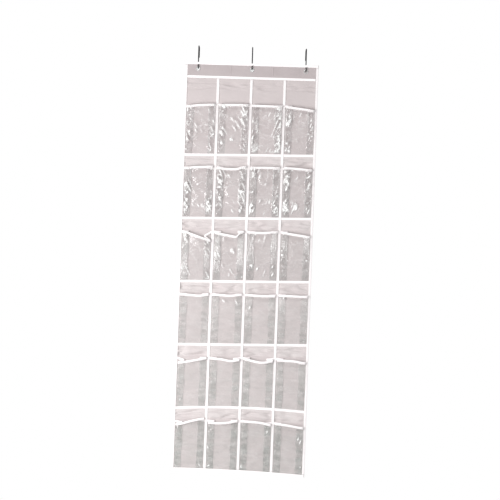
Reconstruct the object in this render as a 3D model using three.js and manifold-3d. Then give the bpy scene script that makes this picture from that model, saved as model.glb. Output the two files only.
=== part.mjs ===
// Over-the-door hanging shoe organizer: a fabric back panel with 24 clear film pockets in
// six rows of four, white tape sewn round every pocket, and three wire hooks in metal
// eyelets. Millimetres, +Z up, +X to the right of a person facing the pockets, pockets
// facing -Y. The origin is where the middle hook's bar rests on the door's top edge.

import * as THREE from 'three';
import { mergeVertices } from 'three/addons/utils/BufferGeometryUtils.js';
import Module from 'manifold-3d';

const wasm = await Module();
wasm.setup();

// ---- driving dimensions ----

const GAP = 0.3;                  // running gap kept between pieces that touch

// wire hook
const WIRE_D = 4;
const DOOR_GAP = 45;              // clear space for the door's thickness
const HOOK_RISE = 64;             // top of the wire above the panel's top edge
const BACK_LEG = 36;              // how far the back leg reaches down behind the door
const BEND_R = 6;                 // bends over the door, on the wire's centre line
const J_R = 8;                    // the J that carries the eyelet, on the centre line
const J_TIP_UP = 7;               // straight end of the J above its half circle
const HOOK_X = 202;               // outer hooks, from the middle one
const HOOK_STEPS = 56;
const HOOK_SIDES = 10;

// back panel
const PANEL_W = 500;              // over the side bindings
const PANEL_H = 1533;             // over the top and bottom bindings
const PANEL_T = 1;
const BAND_T = 0.8;               // second layer of fabric behind the eyelets
const TAPE_T = 0.6;
const BINDING_W = 9;
const DIVIDER_W = 10;
const SEAM_W = 9;
const HEADER_TAPE_DROP = 55;      // header tape's centre below the top edge

// rows and columns of pockets
const ROWS = 6;
const COLUMNS = 4;
const FIRST_MOUTH_DROP = 154;     // first row's mouth below the top edge
const POCKET_H = 190;
const ROW_PITCH = 237;
const FILM_T = 0.6;
const POCKET_FOOT = 1.3;          // depth of the pocket where it is sewn down
const POCKET_MOUTH = 19;          // depth of the pocket at its mouth
const POCKET_SWELL = 14;          // how full the front is low down, before it straightens
const MOUTH_TAPE_W = 8;
const POCKET_SIDE_GAP = 0.8;      // between a pocket's side and the tape beside it
const POCKET_FOOT_GAP = 0.8;      // between a pocket's foot and its seam tape

// half fold between the third and the fourth row
const FOLD_AFTER_ROW = 3;
const FOLD_DROP = 12;             // fold line below the centre of that row's seam tape
const FOLD_GAP = 16;              // bare strip that bends

// eyelets
const EYELET_DROP = 25;           // eyelet's centre below the top edge
const EYELET_HOLE_R = 4.75;
const EYELET_FLANGE_R = 8.5;
const EYELET_CURL_R = 7.2;
const BARREL_R = 5.5;
const FLANGE_RISE = 1.2;
const CURL_RISE = 0.7;
const WASHER_T = 0.7;
const EYELET_PLAY = 1.6;          // above the wire, in the eyelet's hole
const ROUND_SIDES = 24;

// ---- places worked out from them ----

const WIRE_R = WIRE_D / 2;
const LEG_Y = DOOR_GAP / 2 + WIRE_R;
const PANEL_Y = -LEG_Y - J_R;     // panel's middle plane hangs in the middle of the J
const TOP_Z = WIRE_D - HOOK_RISE;
const BOTTOM_Z = TOP_Z - PANEL_H;
const EYELET_Z = TOP_Z - EYELET_DROP;
const J_BOTTOM_Z = EYELET_Z + EYELET_HOLE_R - WIRE_R - EYELET_PLAY;
const J_CENTRE_Z = J_BOTTOM_Z + J_R;

// layers through the panel, towards the front (-Y), from its middle plane
const PANEL_BACK = PANEL_T / 2;
const UNDER_LAYER = -PANEL_T / 2 - GAP;
const BAND_FRONT = UNDER_LAYER - BAND_T;
const OVER_LAYER = BAND_FRONT - GAP;
const BINDING_FRONT = OVER_LAYER - TAPE_T;
const BINDING_BACK = PANEL_BACK + GAP + TAPE_T;

const COLUMN_PITCH = PANEL_W / COLUMNS;
const HEADER_TAPE_Z = TOP_Z - HEADER_TAPE_DROP;
const seamZ = (row) => TOP_Z - FIRST_MOUTH_DROP - POCKET_H - row * ROW_PITCH;
const FOLD_Z = seamZ(FOLD_AFTER_ROW - 1) - FOLD_DROP;
const UPPER_END_Z = FOLD_Z + FOLD_GAP / 2;
const LOWER_END_Z = FOLD_Z - FOLD_GAP / 2;

// ---- materials ----

const material = (color, roughness, metalness) =>
  new THREE.MeshStandardMaterial({ color, roughness, metalness });
const fabric = () => material(0xd2cccc, 0.95, 0);
const doubledFabric = () => material(0xc2bcbc, 0.95, 0);
const tape = () => material(0xf6f2f0, 0.85, 0);
const metal = () => material(0xc9cbcd, 0.2, 1);

function clearFilm() {
  const film = material(0xd9dcd8, 0.15, 0);
  film.transparent = true;
  film.opacity = 0.35;
  return film;
}

// ---- helpers ----

const organizer = new THREE.Group();

// an outline drawn in (y, z) and extruded along x
const ALONG_X = new THREE.Quaternion().setFromRotationMatrix(
  new THREE.Matrix4().makeBasis(
    new THREE.Vector3(0, 1, 0),
    new THREE.Vector3(0, 0, 1),
    new THREE.Vector3(1, 0, 0),
  ),
);

// an outline drawn in (x, z) and extruded towards the front
const TOWARDS_FRONT = new THREE.Quaternion().setFromAxisAngle(
  new THREE.Vector3(1, 0, 0),
  Math.PI / 2,
);

function addPiece(name, geometry, look, position, turn = null) {
  const piece = new THREE.Mesh(geometry, look);
  piece.name = name;
  piece.position.set(...position);
  if (turn) piece.quaternion.copy(turn);
  organizer.add(piece);
}

// a flat strip between two heights and two x values, thickness t behind its front face
function addStrip(name, [x0, x1], [z0, z1], front, thickness, look) {
  const box = new THREE.BoxGeometry(x1 - x0, thickness, z1 - z0);
  const y = PANEL_Y + front + thickness / 2;
  addPiece(name, box, look, [(x0 + x1) / 2, y, (z0 + z1) / 2]);
}

function polygon(points) {
  return new THREE.Shape(points.map(([x, y]) => new THREE.Vector2(x, y)));
}

function toSolid(geometry) {
  geometry.deleteAttribute('normal');
  geometry.deleteAttribute('uv');
  const merged = mergeVertices(geometry);
  return new wasm.Manifold(new wasm.Mesh({
    numProp: 3,
    vertProperties: new Float32Array(merged.attributes.position.array),
    triVerts: new Uint32Array(merged.index.array),
  }));
}

function toGeometry(solid) {
  const mesh = solid.getMesh();
  const geometry = new THREE.BufferGeometry();
  geometry.setAttribute('position', new THREE.BufferAttribute(mesh.vertProperties, 3));
  geometry.setIndex(new THREE.BufferAttribute(mesh.triVerts, 1));
  return geometry;
}

// ---- fabric ----

// a sheet of panel fabric, with a clearance hole for each eyelet that goes through it
function addSheet(name, [x0, x1], [z0, z1], back, thickness, look, holeXs = []) {
  const outline = polygon([[x0, z0], [x1, z0], [x1, z1], [x0, z1]]);
  for (const x of holeXs) {
    const hole = new THREE.Path();
    hole.absarc(x, EYELET_Z, BARREL_R + GAP, 0, 2 * Math.PI, true);
    outline.holes.push(hole);
  }
  const sheet = new THREE.ExtrudeGeometry(outline, {
    depth: thickness,
    bevelEnabled: false,
    curveSegments: ROUND_SIDES / 2,
  });
  addPiece(name, sheet, look, [0, PANEL_Y + back, 0], TOWARDS_FRONT);
}

const EYELETS = [['left', -HOOK_X], ['middle', 0], ['right', HOOK_X]];
const eyeletXs = EYELETS.map(([, x]) => x);
const edgeInset = TAPE_T + GAP;
const sheetX = [-PANEL_W / 2 + edgeInset, PANEL_W / 2 - edgeInset];
const topEdge = TOP_Z - edgeInset;
const bottomEdge = BOTTOM_Z + edgeInset;

addSheet('back_panel_upper', sheetX, [UPPER_END_Z, topEdge], PANEL_BACK, PANEL_T,
  fabric(), eyeletXs);
addSheet('back_panel_lower', sheetX, [bottomEdge, LOWER_END_Z], PANEL_BACK, PANEL_T,
  fabric());
addSheet('top_band', sheetX, [HEADER_TAPE_Z, topEdge], UNDER_LAYER, BAND_T,
  doubledFabric(), eyeletXs);

// ---- bindings: tape folded round an edge of the panel ----

// section of a folded tape: across its width, and through the panel's thickness
const BINDING_SECTION = [
  [0, BINDING_FRONT],
  [BINDING_W, BINDING_FRONT],
  [BINDING_W, OVER_LAYER],
  [TAPE_T, OVER_LAYER],
  [TAPE_T, PANEL_BACK + GAP],
  [BINDING_W, PANEL_BACK + GAP],
  [BINDING_W, BINDING_BACK],
  [0, BINDING_BACK],
];

function addSideBinding(name, side, [z0, z1]) {
  const points = BINDING_SECTION.map(([across, through]) => [-side * across, through]);
  const channel = new THREE.ExtrudeGeometry(polygon(points), {
    depth: z1 - z0,
    bevelEnabled: false,
  });
  addPiece(name, channel, tape(), [side * PANEL_W / 2, PANEL_Y, z0]);
}

function addEndBinding(name, upwards, z) {
  const points = BINDING_SECTION.map(([across, through]) => [through, -upwards * across]);
  const channel = new THREE.ExtrudeGeometry(polygon(points), {
    depth: PANEL_W,
    bevelEnabled: false,
  });
  addPiece(name, channel, tape(), [-PANEL_W / 2, PANEL_Y, z], ALONG_X);
}

const sideTop = TOP_Z - BINDING_W - GAP;
const sideBottom = BOTTOM_Z + BINDING_W + GAP;
for (const [name, side] of [['left', -1], ['right', 1]]) {
  addSideBinding(`${name}_binding_upper`, side, [UPPER_END_Z, sideTop]);
  addSideBinding(`${name}_binding_lower`, side, [sideBottom, LOWER_END_Z]);
}
addEndBinding('top_binding', 1, TOP_Z);
addEndBinding('bottom_binding', -1, BOTTOM_Z);

// ---- flat tapes sewn to the front ----

const betweenBindings = [-PANEL_W / 2 + BINDING_W + GAP, PANEL_W / 2 - BINDING_W - GAP];

function addSeam(name, z, front) {
  const height = [z - SEAM_W / 2, z + SEAM_W / 2];
  addStrip(name, betweenBindings, height, front, TAPE_T, tape());
}

addSeam('header_tape', HEADER_TAPE_Z, BINDING_FRONT);
for (let row = 0; row < ROWS - 1; row += 1) {
  addSeam(`seam_tape_row_${row + 1}`, seamZ(row), UNDER_LAYER - TAPE_T);
}

const dividerTop = HEADER_TAPE_Z - SEAM_W / 2 - GAP;
const DIVIDERS = [['left', -COLUMN_PITCH], ['middle', 0], ['right', COLUMN_PITCH]];
for (const [name, x] of DIVIDERS) {
  const width = [x - DIVIDER_W / 2, x + DIVIDER_W / 2];
  addStrip(`divider_${name}_upper`, width, [UPPER_END_Z, dividerTop], BINDING_FRONT,
    TAPE_T, tape());
  addStrip(`divider_${name}_lower`, width, [sideBottom, LOWER_END_Z], BINDING_FRONT,
    TAPE_T, tape());
}

// ---- pockets ----

// side view of a pocket, (y, z) from its foot; cut > 0 gives the hollow to take out
function pocketOutline(cut) {
  const back = cut > 0 ? POCKET_MOUTH : 0;
  const top = POCKET_H - POCKET_FOOT_GAP - SEAM_W / 2 + cut;
  const outline = new THREE.Shape();
  outline.moveTo(back, cut);
  outline.lineTo(-POCKET_FOOT + cut, cut);
  outline.quadraticCurveTo(-POCKET_SWELL + cut, POCKET_H / 3, -POCKET_MOUTH + cut, top);
  outline.lineTo(back, top);
  return outline;
}

function extrudeOutline(outline, width) {
  const solid = new THREE.ExtrudeGeometry(outline, {
    depth: width,
    bevelEnabled: false,
    curveSegments: 6,
  });
  solid.translate(0, 0, -width / 2);
  return toSolid(solid);
}

// film front and sides, open at the mouth and against the panel, with a bound front edge
function pocketGeometry(width) {
  const outside = extrudeOutline(pocketOutline(0), width);
  const hollow = extrudeOutline(pocketOutline(FILM_T), width - 2 * FILM_T);
  const mouth = POCKET_H - POCKET_FOOT_GAP - SEAM_W / 2;
  const edge = polygon([
    [-POCKET_MOUTH + FILM_T, mouth - MOUTH_TAPE_W],
    [-POCKET_MOUTH + 2 * FILM_T + TAPE_T, mouth - MOUTH_TAPE_W],
    [-POCKET_MOUTH + FILM_T + TAPE_T, mouth],
    [-POCKET_MOUTH - TAPE_T, mouth],
    [-POCKET_MOUTH + FILM_T - TAPE_T, mouth - MOUTH_TAPE_W],
  ]);
  const boundEdge = extrudeOutline(edge, width);
  return toGeometry(outside.subtract(hollow).add(boundEdge));
}

// free width of a column, between the tapes at its two sides
function columnSpan(column) {
  const left = -PANEL_W / 2 + column * COLUMN_PITCH;
  const right = left + COLUMN_PITCH;
  const leftTape = column === 0 ? BINDING_W : DIVIDER_W / 2;
  const rightTape = column === COLUMNS - 1 ? BINDING_W : DIVIDER_W / 2;
  return [left + leftTape + POCKET_SIDE_GAP, right - rightTape - POCKET_SIDE_GAP];
}

for (let row = 0; row < ROWS; row += 1) {
  for (let column = 0; column < COLUMNS; column += 1) {
    const [x0, x1] = columnSpan(column);
    const footZ = seamZ(row) + SEAM_W / 2 + POCKET_FOOT_GAP;
    const place = [(x0 + x1) / 2, PANEL_Y + UNDER_LAYER, footZ];
    const name = `pocket_r${row + 1}_c${column + 1}`;
    addPiece(name, pocketGeometry(x1 - x0), clearFilm(), place, ALONG_X);
  }
}

// ---- eyelets and their washers ----

// rolled metal ring: front flange, barrel through the fabric, curled lip over the washer
function eyeletGeometry() {
  const flangeFront = BINDING_FRONT - FLANGE_RISE;
  const washerBack = PANEL_BACK + GAP + WASHER_T + GAP;
  const curlBack = washerBack + CURL_RISE;
  const flare = 0.9;
  const profile = new THREE.Path();
  profile.moveTo(EYELET_HOLE_R, 0);
  profile.lineTo(EYELET_HOLE_R, OVER_LAYER);
  profile.quadraticCurveTo(EYELET_HOLE_R, flangeFront, BARREL_R + flare, flangeFront);
  profile.quadraticCurveTo(EYELET_FLANGE_R, flangeFront, EYELET_FLANGE_R, OVER_LAYER);
  profile.lineTo(BARREL_R, OVER_LAYER);
  profile.lineTo(BARREL_R, washerBack);
  profile.lineTo(EYELET_CURL_R, washerBack);
  profile.quadraticCurveTo(EYELET_CURL_R, curlBack, BARREL_R + flare, curlBack);
  profile.quadraticCurveTo(EYELET_HOLE_R, curlBack, EYELET_HOLE_R, PANEL_BACK);
  profile.lineTo(EYELET_HOLE_R, 0);
  return new THREE.LatheGeometry(profile.getPoints(3), ROUND_SIDES);
}

function washerGeometry() {
  const inner = BARREL_R + GAP;
  const front = PANEL_BACK + GAP;
  const back = front + WASHER_T;
  const profile = [
    [inner, front],
    [EYELET_FLANGE_R, front],
    [EYELET_FLANGE_R, back],
    [inner, back],
    [inner, front],
  ];
  const points = profile.map(([r, y]) => new THREE.Vector2(r, y));
  return new THREE.LatheGeometry(points, ROUND_SIDES);
}

for (const [name, x] of EYELETS) {
  addPiece(`eyelet_${name}`, eyeletGeometry(), metal(), [x, PANEL_Y, EYELET_Z]);
  addPiece(`eyelet_washer_${name}`, washerGeometry(), metal(), [x, PANEL_Y, EYELET_Z]);
}

// ---- wire hooks ----

// one bent wire: down behind the door, over its top edge, down its face, and through the
// eyelet in a J that ends in front of the panel
function hookGeometry() {
  const bar = WIRE_R;
  const wire = new THREE.Path();
  wire.moveTo(LEG_Y, -BACK_LEG);
  wire.lineTo(LEG_Y, bar - BEND_R);
  wire.absarc(LEG_Y - BEND_R, bar - BEND_R, BEND_R, 0, Math.PI / 2, false);
  wire.lineTo(-LEG_Y + BEND_R, bar);
  wire.absarc(-LEG_Y + BEND_R, bar - BEND_R, BEND_R, Math.PI / 2, Math.PI, false);
  wire.lineTo(-LEG_Y, J_CENTRE_Z);
  wire.absarc(PANEL_Y, J_CENTRE_Z, J_R, 0, -Math.PI, true);
  wire.lineTo(PANEL_Y - J_R, J_CENTRE_Z + J_TIP_UP);
  const route = wire.getSpacedPoints(2 * HOOK_STEPS);
  const section = new THREE.Shape();
  section.absarc(0, 0, WIRE_R, 0, 2 * Math.PI, false);
  return new THREE.ExtrudeGeometry(section, {
    steps: HOOK_STEPS,
    curveSegments: HOOK_SIDES / 2,
    extrudePath: new THREE.CatmullRomCurve3(
      route.map((point) => new THREE.Vector3(0, point.x, point.y)),
    ),
  });
}

for (const [name, x] of EYELETS) {
  addPiece(`hook_${name}`, hookGeometry(), metal(), [x, 0, 0]);
}

export default organizer;
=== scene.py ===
"""Looks of the hanging shoe organizer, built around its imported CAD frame.

Metres, +Z up, pockets facing -Y. Soft pieces are laid out flat first, as (x, depth in front
of the panel's middle plane, z), and hang() then gives them the shape they hang in.
"""

import math

import bmesh
import bpy
import numpy as np
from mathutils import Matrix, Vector, noise


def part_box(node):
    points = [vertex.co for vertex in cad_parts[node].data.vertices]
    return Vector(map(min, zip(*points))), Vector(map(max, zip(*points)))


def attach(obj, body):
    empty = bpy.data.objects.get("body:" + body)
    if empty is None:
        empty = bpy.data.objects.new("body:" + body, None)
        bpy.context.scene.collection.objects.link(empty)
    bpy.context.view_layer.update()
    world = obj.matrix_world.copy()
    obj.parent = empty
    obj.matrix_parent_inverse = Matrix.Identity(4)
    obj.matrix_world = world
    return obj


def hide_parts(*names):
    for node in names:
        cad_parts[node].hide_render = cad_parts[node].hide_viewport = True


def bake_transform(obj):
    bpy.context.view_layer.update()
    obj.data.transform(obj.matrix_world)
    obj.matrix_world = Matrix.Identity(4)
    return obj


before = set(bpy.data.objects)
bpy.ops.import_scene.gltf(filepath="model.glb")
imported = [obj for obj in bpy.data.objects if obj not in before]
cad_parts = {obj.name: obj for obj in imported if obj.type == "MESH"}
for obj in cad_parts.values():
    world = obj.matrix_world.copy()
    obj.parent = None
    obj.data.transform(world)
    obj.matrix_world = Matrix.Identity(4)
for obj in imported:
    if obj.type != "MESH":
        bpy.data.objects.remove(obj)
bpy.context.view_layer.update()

MM = 0.001

# ---- places from the frame ----

ROWS, COLUMNS = 6, 4
SIDES = ("left", "middle", "right")


def middle(node):
    low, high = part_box(node)
    return (low + high) / 2


def size(node):
    low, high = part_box(node)
    return high - low


def depths(node):
    """How far a node's front and its back are in front of the panel's middle plane."""
    low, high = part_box(node)
    return MID_Y - low.y, MID_Y - high.y


HEM_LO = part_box("bottom_binding")[0]
HEM_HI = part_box("top_binding")[1]
LEFT_X, RIGHT_X = HEM_LO.x, HEM_HI.x
TOP_Z, BOTTOM_Z = HEM_HI.z, HEM_LO.z
WIDTH, HEIGHT = RIGHT_X - LEFT_X, TOP_Z - BOTTOM_Z
MID_Y = middle("back_panel_upper").y
PANEL_T = size("back_panel_upper").y
FOLD_TOP_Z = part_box("back_panel_upper")[0].z
FOLD_LOW_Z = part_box("back_panel_lower")[1].z
BINDING_W = size("left_binding_upper").x
BINDING_FRONT, BINDING_BACK = depths("left_binding_upper")
TAPE_FRONT, TAPE_BACK = depths("header_tape")
SEAM_FRONT, SEAM_BACK = depths("seam_tape_row_1")
BAND_FRONT, BAND_BACK = depths("top_band")
TAPE_T = TAPE_FRONT - TAPE_BACK
SEAM_W = size("header_tape").z
DIVIDER_W = size("divider_left_upper").x
HEADER_Z = middle("header_tape").z
SEAM_Z = [middle(f"seam_tape_row_{row + 1}").z for row in range(ROWS - 1)]
SEAM_Z.append(middle("bottom_binding").z)
DIVIDER_X = [middle(f"divider_{side}_upper").x for side in SIDES]
POCKET_FRONT = depths("pocket_r1_c2")[0]


def for_pocket(name, row, column):
    """The name of a pocket's own node or piece."""
    return f"{name}_r{row + 1}_c{column + 1}"


def panel_body(z):
    return "upper_panel" if z > FOLD_TOP_Z else "lower_panel"


# ---- how the fabric hangs ----

SEWN_LINES = [TOP_Z, HEADER_Z, *SEAM_Z]
# how far each sewn line is off level, at the left edge, the middle and the right edge
OFF_LEVEL = np.array([(0, 0, 0), (0, 0, 0), *[(-5, 0, 5)] * 4, (-7, 1, -9), (2, -1, -12)]) * MM
LEAN_AT_BOTTOM = -8 * MM  # how far the bottom hangs to the left
RIPPLE = 1.6 * MM
RIPPLE_SIZE = 160 * MM
FLAT_ABOVE = HEADER_Z - 10 * MM  # the doubled top stays flat behind its eyelets
RIPPLE_GROWS = 60 * MM  # height below it in which the ripple reaches its full depth


def across(left, centre, right, x):
    """Smooth curve through its heights at the left edge, the middle and the right edge."""
    t = x / (WIDTH / 2)
    return centre + t * (right - left) / 2 + t * t * ((left + right) / 2 - centre)


def noise_at(points, feature, seed=0.0):
    """Smooth noise from about -1 to 1 at each row of points, features about that size."""
    shift = Vector((seed * 7.31, seed * 3.17, seed * 5.73))
    return np.array([noise.noise(Vector(p) / feature + shift) for p in points])


def smooth(t):
    t = np.clip(t, 0, 1)
    return t * t * (3 - 2 * t)


def in_plane(x, z):
    """Points at depth 0, to take noise from."""
    return np.stack([x, np.zeros_like(x), z], 1)


def hang(flat):
    """Places in the row frame of flat points: the panel leans, bows and ripples."""
    x, depth, z = flat[:, 0], flat[:, 1], flat[:, 2]
    left, centre, right = (np.interp(z, SEWN_LINES[::-1], lift[::-1]) for lift in OFF_LEVEL.T)
    lift = across(left, centre, right, x)
    lean = LEAN_AT_BOTTOM * (TOP_Z - z) / HEIGHT
    grown = smooth((FLAT_ABOVE - z) / RIPPLE_GROWS)
    ripple = RIPPLE * grown * noise_at(in_plane(x, z), RIPPLE_SIZE)
    return np.stack([x + lean, MID_Y - depth + ripple, z + lift], 1)


# ---- mesh helpers ----

def unit(vectors):
    return vectors / np.linalg.norm(vectors, axis=1)[:, None]


def steps(start, end, spacing):
    count = max(2, int(round(abs(end - start) / spacing)) + 1)
    return np.linspace(start, end, count)


def fold_steps(start, end, spacing):
    """Steps down the panel, closer together where it folds."""
    fine = steps(FOLD_LOW_Z - 6 * MM, FOLD_TOP_Z + 6 * MM, 1.6 * MM)
    coarse = steps(start, end, spacing)
    apart = (coarse < fine.min() - MM) | (coarse > fine.max() + MM)
    return np.sort(np.concatenate([coarse[apart], fine]))


def grid_faces(columns, rows, start=0, closed=False):
    """Quads over rows of points; closed joins each row's last point to its first."""
    faces = []
    for row in range(rows - 1):
        for column in range(columns if closed else columns - 1):
            a = start + row * columns + column
            b = start + row * columns + (column + 1) % columns
            faces.append((a, b, b + columns, a + columns))
    return faces


def tube_faces(around, rings):
    """Quads along a closed section, with both ends capped."""
    faces = grid_faces(around, rings, closed=True)
    faces.append(tuple(range(around)))
    faces.append(tuple(range((rings - 1) * around, rings * around)))
    return faces


def add_object(name, data):
    """Puts a new mesh, light or camera into the scene."""
    made = bpy.data.objects.new(name, data)
    bpy.context.scene.collection.objects.link(made)
    return made


def object_from(name, work):
    """Turns a bmesh into a new object, and frees it."""
    mesh = bpy.data.meshes.new(name)
    work.to_mesh(mesh)
    work.free()
    return add_object(name, mesh)


def add_mesh(name, points, faces, materials, flat=None, second=()):
    """A smooth-shaded piece. flat holds each point's place in the flat cut, for its materials;
    the faces whose numbers are in second take the second material."""
    mesh = bpy.data.meshes.new(name)
    mesh.from_pydata([tuple(p) for p in points], [], faces)
    for material in materials:
        mesh.materials.append(material)
    indices = np.zeros(len(faces), np.int32)
    indices[list(second)] = 1
    mesh.polygons.foreach_set("material_index", indices)
    mesh.polygons.foreach_set("use_smooth", np.ones(len(faces), bool))
    cut = mesh.attributes.new("flat", "FLOAT_VECTOR", "POINT")
    laid = points if flat is None else flat
    cut.data.foreach_set("vector", np.asarray(laid, np.float32).ravel())
    work = bmesh.new()
    work.from_mesh(mesh)
    bmesh.ops.recalc_face_normals(work, faces=work.faces)
    work.to_mesh(mesh)
    work.free()
    return add_object(name, mesh)


def give_values(piece, name, values):
    """A number at each of the piece's points, which its materials read."""
    attribute = piece.data.attributes.new(name, "FLOAT", "POINT")
    attribute.data.foreach_set("value", np.asarray(values, np.float32))


def add_hung(name, flat, faces, materials, second=()):
    return add_mesh(name, hang(flat), faces, materials, flat, second)


def joined(*parts):
    """One (points, faces) from several."""
    points, faces = [], []
    for part_points, part_faces in parts:
        start = sum(len(p) for p in points)
        points.append(part_points)
        faces += [tuple(i + start for i in face) for face in part_faces]
    return np.concatenate(points), faces


STITCH_PITCH = 3.6 * MM
STITCH_L = 2.7 * MM
STITCH_W = 0.55 * MM
STITCH_H = 0.28 * MM


def stitch_run(path, outward):
    """Small raised stitches along a flat-cut path, as (points, faces)."""
    run = np.concatenate([[0], np.cumsum(np.linalg.norm(np.diff(path, axis=0), axis=1))])
    count = max(1, int(run[-1] // STITCH_PITCH))
    centres = (np.arange(count) + 0.5) * run[-1] / count

    def on(values, where):
        return np.stack([np.interp(where, run, values[:, k]) for k in range(3)], 1)

    starts, ends = on(path, centres - STITCH_L / 2), on(path, centres + STITCH_L / 2)
    up = unit(on(outward, centres))
    along = unit(ends - starts)
    side = np.cross(along, up) * STITCH_W / 2
    low, high = -0.1 * MM * up, STITCH_H * up
    inward = along * STITCH_L * 0.22
    corners = []
    for height, inset, half in ((low, 0, side), (high, inward, side * 0.5)):
        first, last = starts + inset + height, ends - inset + height
        corners += [first - half, first + half, last + half, last - half]
    points = np.stack(corners, 1).reshape(-1, 3)
    faces = []
    for base in range(0, count * 8, 8):
        for quad in ((0, 1, 5, 4), (1, 2, 6, 5), (2, 3, 7, 6), (3, 0, 4, 7), (4, 5, 6, 7),
                     (3, 2, 1, 0)):
            faces.append(tuple(base + i for i in quad))
    return points, faces


def sewn(name, body, stitches, tape):
    """A tape's own (points, faces) with rows of stitches on it, as one hung piece."""
    points, faces = joined(body, *stitches)
    return add_hung(name, points, faces, [tape, THREAD], range(len(body[1]), len(faces)))


# ---- materials ----

class Nodes:
    """Short names for building the nodes of a new material or world."""

    def __init__(self, owner, main):
        owner.use_nodes = True
        self.owner = owner
        self.tree = owner.node_tree
        self.shader = self.tree.nodes[main]

    def put(self, socket, value):
        """Links the socket to a source, or sets it to a constant."""
        if isinstance(value, bpy.types.NodeSocket):
            self.tree.links.new(value, socket)
        else:
            socket.default_value = value

    def give(self, name, value):
        """What one of the shader's own sockets gets."""
        self.put(self.shader.inputs[name], value)

    def add(self, kind, output, inputs, **settings):
        """The named output of a new node, with its inputs linked or set."""
        node = self.tree.nodes.new(kind)
        for key, setting in settings.items():
            setattr(node, key, setting)
        for key, value in inputs.items():
            self.put(node.inputs[key], value)
        return node.outputs[output]

    def given(self, name, output="Fac"):
        """What the mesh's attribute of that name says at each point; 0 if it has none."""
        return self.add("ShaderNodeAttribute", output, {}, attribute_name=name)

    def place(self):
        return self.add("ShaderNodeTexCoord", "Object", {})

    def stretched(self, vector, scale):
        return self.add("ShaderNodeMapping", "Vector", {"Scale": scale, "Vector": vector})

    def noise(self, vector, scale, detail=3.0, roughness=0.55):
        inputs = {"Scale": scale, "Detail": detail, "Roughness": roughness, "Vector": vector}
        return self.add("ShaderNodeTexNoise", "Fac", inputs)

    def wave(self, vector, pitch, direction):
        """Soft bands that repeat every pitch metres."""
        inputs = {"Scale": math.pi / 10 / pitch, "Vector": vector}
        return self.add("ShaderNodeTexWave", "Fac", inputs, bands_direction=direction)

    def spread(self, value, low, high, to_low=0.0, to_high=1.0):
        inputs = {"From Min": low, "From Max": high, "To Min": to_low, "To Max": to_high,
                  "Value": value}
        return self.add("ShaderNodeMapRange", "Result", inputs, interpolation_type="SMOOTHSTEP")

    def math(self, operation, a, b):
        return self.add("ShaderNodeMath", "Value", {0: a, 1: b}, operation=operation)

    def plus(self, a, b):
        return self.math("ADD", a, b)

    def times(self, a, b):
        return self.math("MULTIPLY", a, b)

    def colours(self, factor, *stops):
        """A colour ramp through (position, colour) stops."""
        ramp = self.add("ShaderNodeValToRGB", "Color", {"Fac": factor})
        elements = ramp.node.color_ramp.elements
        while len(elements) < len(stops):
            elements.new(0.5)
        for element, (position, colour) in zip(elements, stops):
            element.position = position
            element.color = (*colour, 1)
        return ramp

    def bump(self, height, distance, strength=1.0, before=None):
        inputs = {"Distance": distance, "Strength": strength, "Height": height}
        if before is not None:
            inputs["Normal"] = before
        return self.add("ShaderNodeBump", "Normal", inputs)

    def mix(self, factor, first, second):
        """A mix of two shaders."""
        return self.add("ShaderNodeMixShader", "Shader", {0: factor, 1: first, 2: second})


def new_material(name):
    return Nodes(bpy.data.materials.new(name), "Principled BSDF")


def shade(colour, factor):
    return tuple(min(1.0, c * factor) for c in colour)


def nonwoven(name, colour, darker, paler_painted_light):
    """Spun nonwoven fabric: fine fibres, a pressed dot pattern and faint large blotches. It is
    painted paler, as painted light, where an attribute of the mesh marks the bare strips that no
    film covers."""
    cloth = new_material(name)
    cut = cloth.given("flat", "Vector")
    fibres = cloth.noise(cloth.stretched(cut, (1, 1, 2.5)), 900, 5, 0.7)
    blotches = cloth.noise(cut, 14, 4)
    dots = cloth.times(cloth.wave(cut, 1.6 * MM, "X"), cloth.wave(cut, 1.6 * MM, "Z"))
    tone = cloth.plus(cloth.times(fibres, 0.45), cloth.times(blotches, 0.55))
    # painted light: paler in the bare strips between the rows
    tone = cloth.plus(tone, cloth.times(cloth.given("bare_painted_light"), 0.32))
    stops = [(0.25, shade(colour, darker)), (0.5, colour), (0.7, shade(colour, 1.045)),
             (0.92, paler_painted_light)]
    cloth.give("Base Color", cloth.colours(tone, *stops))
    pressed = cloth.bump(cloth.spread(dots, 0.35, 0.75), 0.12 * MM, 0.55)
    cloth.give("Normal", cloth.bump(fibres, 0.1 * MM, 0.5, pressed))
    cloth.give("Roughness", cloth.spread(fibres, 0.2, 0.8, 0.82, 0.97))
    cloth.give("Sheen Weight", 0.08)
    cloth.give("Specular IOR Level", 0.2)
    return cloth.owner


def woven_tape(name, colour, run):
    """Narrow woven tape: ribs across its run, a little fuzz, a worn tone, and painted shade where
    the weave is low.
    """
    tape = new_material(name)
    cut = tape.given("flat", "Vector")
    ribs = tape.wave(cut, 0.9 * MM, run)
    threads = tape.wave(cut, 0.6 * MM, "X" if run == "Z" else "Z")
    weave = tape.times(ribs, threads)
    fuzz = tape.noise(cut, 1400, 4, 0.7)
    wear = tape.noise(cut, 35, 4)
    # painted shade: darker where the weave is low, between its threads; the worn tone is random
    tone = tape.plus(tape.times(wear, 0.6), tape.times(weave, 0.4))
    stops = [(0.1, shade(colour, 0.9)), (0.45, colour), (0.9, shade(colour, 1.03))]
    tape.give("Base Color", tape.colours(tone, *stops))
    raised = tape.bump(weave, 0.16 * MM, 0.7)
    tape.give("Normal", tape.bump(fuzz, 0.06 * MM, 0.4, raised))
    tape.give("Roughness", tape.spread(fuzz, 0.2, 0.8, 0.7, 0.9))
    tape.give("Sheen Weight", 0.15)
    tape.give("Specular IOR Level", 0.3)
    return tape.owner


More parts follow.
